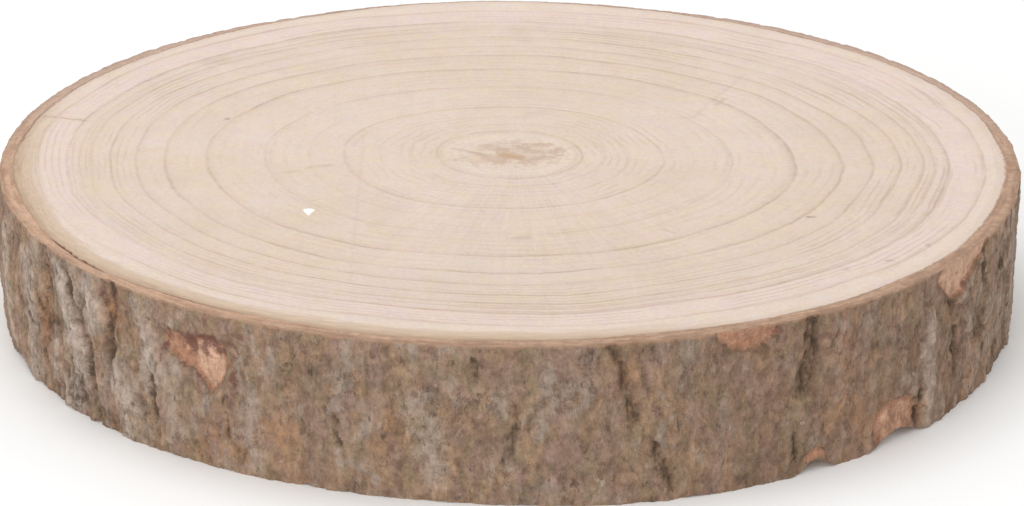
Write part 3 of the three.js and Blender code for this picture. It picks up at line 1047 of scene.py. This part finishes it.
def sawn_material():
    material, shader, w = new_material("sawn end grain", 0.72)
    position = object_millimetres(w)
    radius, distance, east, north = ring_radius(w, position)
    turn = w.maths("ARCTAN2", north, east)
    fuzz = w.noise(position, 0.9, 3.0, 0.75)

    broad = w.noise(position, 45.0, 3.0, 0.5)
    base = w.tint(w.ramp(broad, 0.4, 0.62), WOOD, WOOD_WARM)
    pink = w.times(w.ramp(radius, 106.0, 114.0), w.ramp(radius, 119.0, 122.0, 0.9, 0.45))
    base = w.tint(pink, base, WOOD_PINK)
    base = w.tint(w.ramp(radius, 120.0, 122.5, 0.0, 0.5), base, WOOD_CREAM)
    base = w.tint(w.times(w.hump(radius, 13.0, 5.0), 0.65), base, WOOD_CREAM)
    fainter = w.line(w.near(turn, 200, 30.0, 90.0), 0.0, 1.0, 1.0, 0.72)
    line = w.times(ring_lines(w, radius, east, north), fainter)
    base = w.tint(line, base, RING_LINE)

    # Fine rays run out from the pith, most clearly towards the front.
    spin = w.wrapped(east, north, 46.0, w.times(distance, 0.03))
    ray = w.swing(spin, 1.0, 2.0, 0.6)
    to_front = w.plus(w.times(w.near(turn, 270, 40.0, 120.0), 0.7), 0.3)
    along_ray = w.times(w.ramp(distance, 8.0, 20.0), w.ramp(distance, 55.0, 100.0, 1.0, 0.15))
    rays = w.times(ray, to_front, along_ray)
    saw = w.swing(w.vector("MULTIPLY", position, (1.0, 0.05, 1.0)), 2.6, 3.0, 0.6)
    cloudy = w.line(w.noise(position, 16.0, 3.0, 0.6), 0.35, 0.65, -0.02, 0.02)
    # Painted shade: the cut grows a little darker towards the front.
    front_shade = w.line(w.split(position)[1], -110.0, 10.0, -0.03, 0.0)
    light = w.plus(
        1.0, w.times(rays, 0.045), w.line(fuzz, 0.3, 0.7, -0.07, 0.07), w.times(saw, 0.012),
        cloudy, front_shade,
    )
    base = shaded(w, base, light)
    pinker, yellower, _ = w.split(w.noise(position, 5.0, 5.0, 0.66, output="Color"))
    green = w.line(pinker, 0.35, 0.65, 1.025, 0.975)
    blue = w.line(yellower, 0.35, 0.65, 1.06, 0.94)
    base = w.tint(1.0, base, w.join(1.0, green, blue), "MULTIPLY")

    # The pith.
    curls = w.noise(position, 3.2, 5.0, 0.7, 0.2)
    stain = w.times(pith_stain(w, position, curls), w.ramp(curls, 0.42, 0.58, 1.3, 0.5))
    base = w.tint(stain, base, PITH_BROWN)
    core = mark_share(w, position, *PITH_CORE_MARK)
    base = w.tint(w.times(core, w.ramp(curls, 0.35, 0.65, 0.35, 0.8)), base, PITH_CORE)
    tail = mark_share(w, position, *PITH_TAIL_MARK)
    base = w.tint(w.times(tail, 0.35), base, PITH_BROWN)

    # The small marks are on the upper cut only.
    upper = w.ramp(w.split(position)[2], THICKNESS / 2, THICKNESS / 2 + 1)
    bend = w.scaled(w.noise(position, 3.0, 3.0, 0.6, output="Color"), 2.4)
    wavy = w.vector("SUBTRACT", w.vector("ADD", position, bend), (1.2, 1.2, 1.2))
    worn = w.times(w.ramp(w.noise(position, 1.8, 3.0, 0.7), 0.38, 0.6, 0.3, 1.0), upper)
    for start, end, half_width, tone, strength in FACE_MARKS:
        here = mark_share(w, wavy, start, end, half_width)
        base = w.tint(w.times(here, worn, strength), base, tone)
    slight = w.vector("ADD", w.scaled(position, 0.65), w.scaled(wavy, 0.35))
    fleck = w.ramp(mark_share(w, slight, *WHITE_FLECK), 0.1, 0.6)
    base = w.tint(w.times(fleck, upper), base, WHITE_CHIP)

    # The rim: tan outer wood, the thin dark cambium, and the cut bark in layers.
    rim = attribute(w, "rim")
    from_bark = w.minus(rim, attribute(w, "bark_here"))
    inside = w.plus(from_bark, w.times(w.swing(position, 2.5, 3.0, 0.6), 0.3))
    layered = w.wrapped(east, north, 34.0, w.times(rim, 2.4))
    layers = w.noise(layered, 3.0, 4.0, 0.65)
    left = w.near(turn, 228, 92.0, 162.0)
    uneven = w.plus(inside, w.line(layers, 0.3, 0.7, -1.2, 1.2))
    tan = w.times(w.fall(uneven, 3.8, 6.6), left, w.line(layers, 0.35, 0.65, 0.7, 1.0))
    base = w.tint(tan, base, EDGE_TAN)
    deep = w.times(w.fall(uneven, 0.2, 3.2), w.line(left, 0.0, 1.0, 0.2, 0.85))
    base = w.tint(deep, base, EDGE_DEEP)
    lined = w.wrapped(east, north, 90.0, w.times(rim, 5.0))
    streaky = w.line(w.noise(lined, 3.0, 4.0, 0.7), 0.38, 0.62, -0.12, 0.05)
    base = shaded(w, base, w.plus(w.times(w.most(tan, deep), streaky), 1.0))
    bark_tone = w.tint(w.ramp(layers, 0.36, 0.6), CUT_BARK_DARK, CUT_BARK)
    bark_tone = w.tint(w.ramp(north, -0.1, 0.4, 0.0, 0.7), bark_tone, CUT_BARK_GREY)
    right = w.near(turn, 305, 90.0, 170.0)
    cut_light = w.times(
        w.line(w.noise(position, 1.4, 5.0, 0.75), 0.35, 0.65, 0.84, 1.12),
        w.ramp(rim, 0.3, 2.4, 0.86, 1.0),
        w.line(right, 0.0, 1.0, 1.03, 0.9),
    )
    bark_tone = shaded(w, bark_tone, cut_light)
    dirt = w.ramp(w.noise(position, 5.0, 5.0, 0.7), 0.45, 0.62, 0.0, 0.6)
    bark_tone = w.tint(w.times(dirt, w.plus(w.times(right, 0.85), 0.15)), bark_tone, BARK_BROWN)
    base = w.tint(w.fall(inside, -0.25, 0.15), base, bark_tone)
    grown = w.line(w.noise(layered, 9.0, 2.0), 0.35, 0.65, 0.25, 0.85)
    grown = w.times(grown, w.line(w.near(turn, 275, 40.0, 80.0), 0.0, 1.0, 1.0, 0.45))
    base = w.tint(w.times(w.hump(inside, 0.0, 0.5), grown), base, CAMBIUM)
    red = w.times(w.near(turn, 235, 4.0, 14.0), w.ramp(layers, 0.42, 0.6), 0.6)
    red = w.most(crack_reach(w, turn), red)
    base = w.tint(w.times(w.hump(inside, 0.0, 0.6), red, upper), base, CRACK_RED)

    w.feed(shader.inputs["Base Color"], base)
    w.feed(shader.inputs["Roughness"], w.line(fuzz, 0.3, 0.7, 0.66, 0.86))
    bump(w, shader, w.plus(w.times(fuzz, 0.7), w.times(rays, 0.3), w.times(line, -0.4)), 0.12)
    return material


# ---- The slice ----

def make_slice():
    blank = make_blank()
    mesh = blank.data
    sawn = np.array([abs(face.normal.z) > 0.5 for face in mesh.polygons])
    mesh.attributes.new("sawn", "BOOLEAN", "FACE").data.foreach_set("value", sawn)
    bark, cut = bark_material(), sawn_material()
    tree = shaping_tree(bark, cut)
    sizes = {
        "Radius": RADIUS,
        "Thickness": THICKNESS,
        "Bark thickness": BARK_THICKNESS,
        "Relief": 1.0,
        "Crack depth": CRACK_DEPTH,
    }
    piece = shaped_mesh(blank, tree, sizes, "sawn_trunk_slice")
    for name in ("height", "across", "past", "share", "sawn"):
        layer = piece.data.attributes.get(name)
        if layer:
            piece.data.attributes.remove(layer)
    return piece


# ---- Camera, light and floor ----

def put_up(name, data, place, turned):
    """Puts a camera or a lamp in the scene, at a place and turned as given."""
    thing = bpy.data.objects.new(name, data)
    thing.location = place
    thing.rotation_mode = "QUATERNION"
    thing.rotation_quaternion = turned
    bpy.context.scene.collection.objects.link(thing)
    return thing


def make_camera():
    """Looks at the middle of the slice from the front, 20.7 degrees above level."""
    elevation, distance, roll = math.radians(20.7), 1170.0, math.radians(0.4)
    target = Vector((0.3, 0.0, THICKNESS / 3)) * MM
    back = Vector((0.0, -math.cos(elevation), math.sin(elevation)))
    data = bpy.data.cameras.new("camera")
    data.sensor_width = 36.0
    data.lens = 159.7
    data.clip_end = 100.0
    turned = (-back).to_track_quat("-Z", "Y") @ Euler((0.0, 0.0, roll)).to_quaternion()
    bpy.context.scene.camera = put_up("camera", data, target + back * distance * MM, turned)


def make_lamp(name, place, aim, size, power):
    data = bpy.data.lights.new(name, "AREA")
    data.shape = "DISK"
    data.size = size
    data.energy = power
    put_up(name, data, place, (Vector(aim) - Vector(place)).to_track_quat("-Z", "Y"))


def make_studio():
    world = bpy.data.worlds.new("studio")
    world.use_nodes = True
    background = world.node_tree.nodes["Background"]
    background.inputs[0].default_value = (1.0, 1.0, 1.0, 1.0)
    background.inputs[1].default_value = 0.85
    bpy.context.scene.world = world
    bpy.context.scene.view_settings.view_transform = "Standard"
    centre = (0.0, 0.0, 0.02)
    make_lamp("overhead softbox", (-0.2, 0.1, 1.5), centre, 1.0, 6.0)
    make_lamp("front softbox", (-0.7, -1.6, 0.42), centre, 1.0, 12.0)


def make_floor():
    size = 8.0
    mesh = bpy.data.meshes.new("floor")
    corners = [(-size, -size, 0), (size, -size, 0), (size, size, 0), (-size, size, 0)]
    mesh.from_pydata(corners, [], [(0, 1, 2, 3)])
    floor = bpy.data.objects.new("floor", mesh)
    material, shader, _ = new_material("pale floor", 0.9)
    shader.inputs["Base Color"].default_value = (0.93, 0.93, 0.925, 1.0)
    mesh.materials.append(material)
    bpy.context.scene.collection.objects.link(floor)


make_camera()
make_studio()
make_floor()
piece = make_slice()
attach(piece, "root")
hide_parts(NODE)
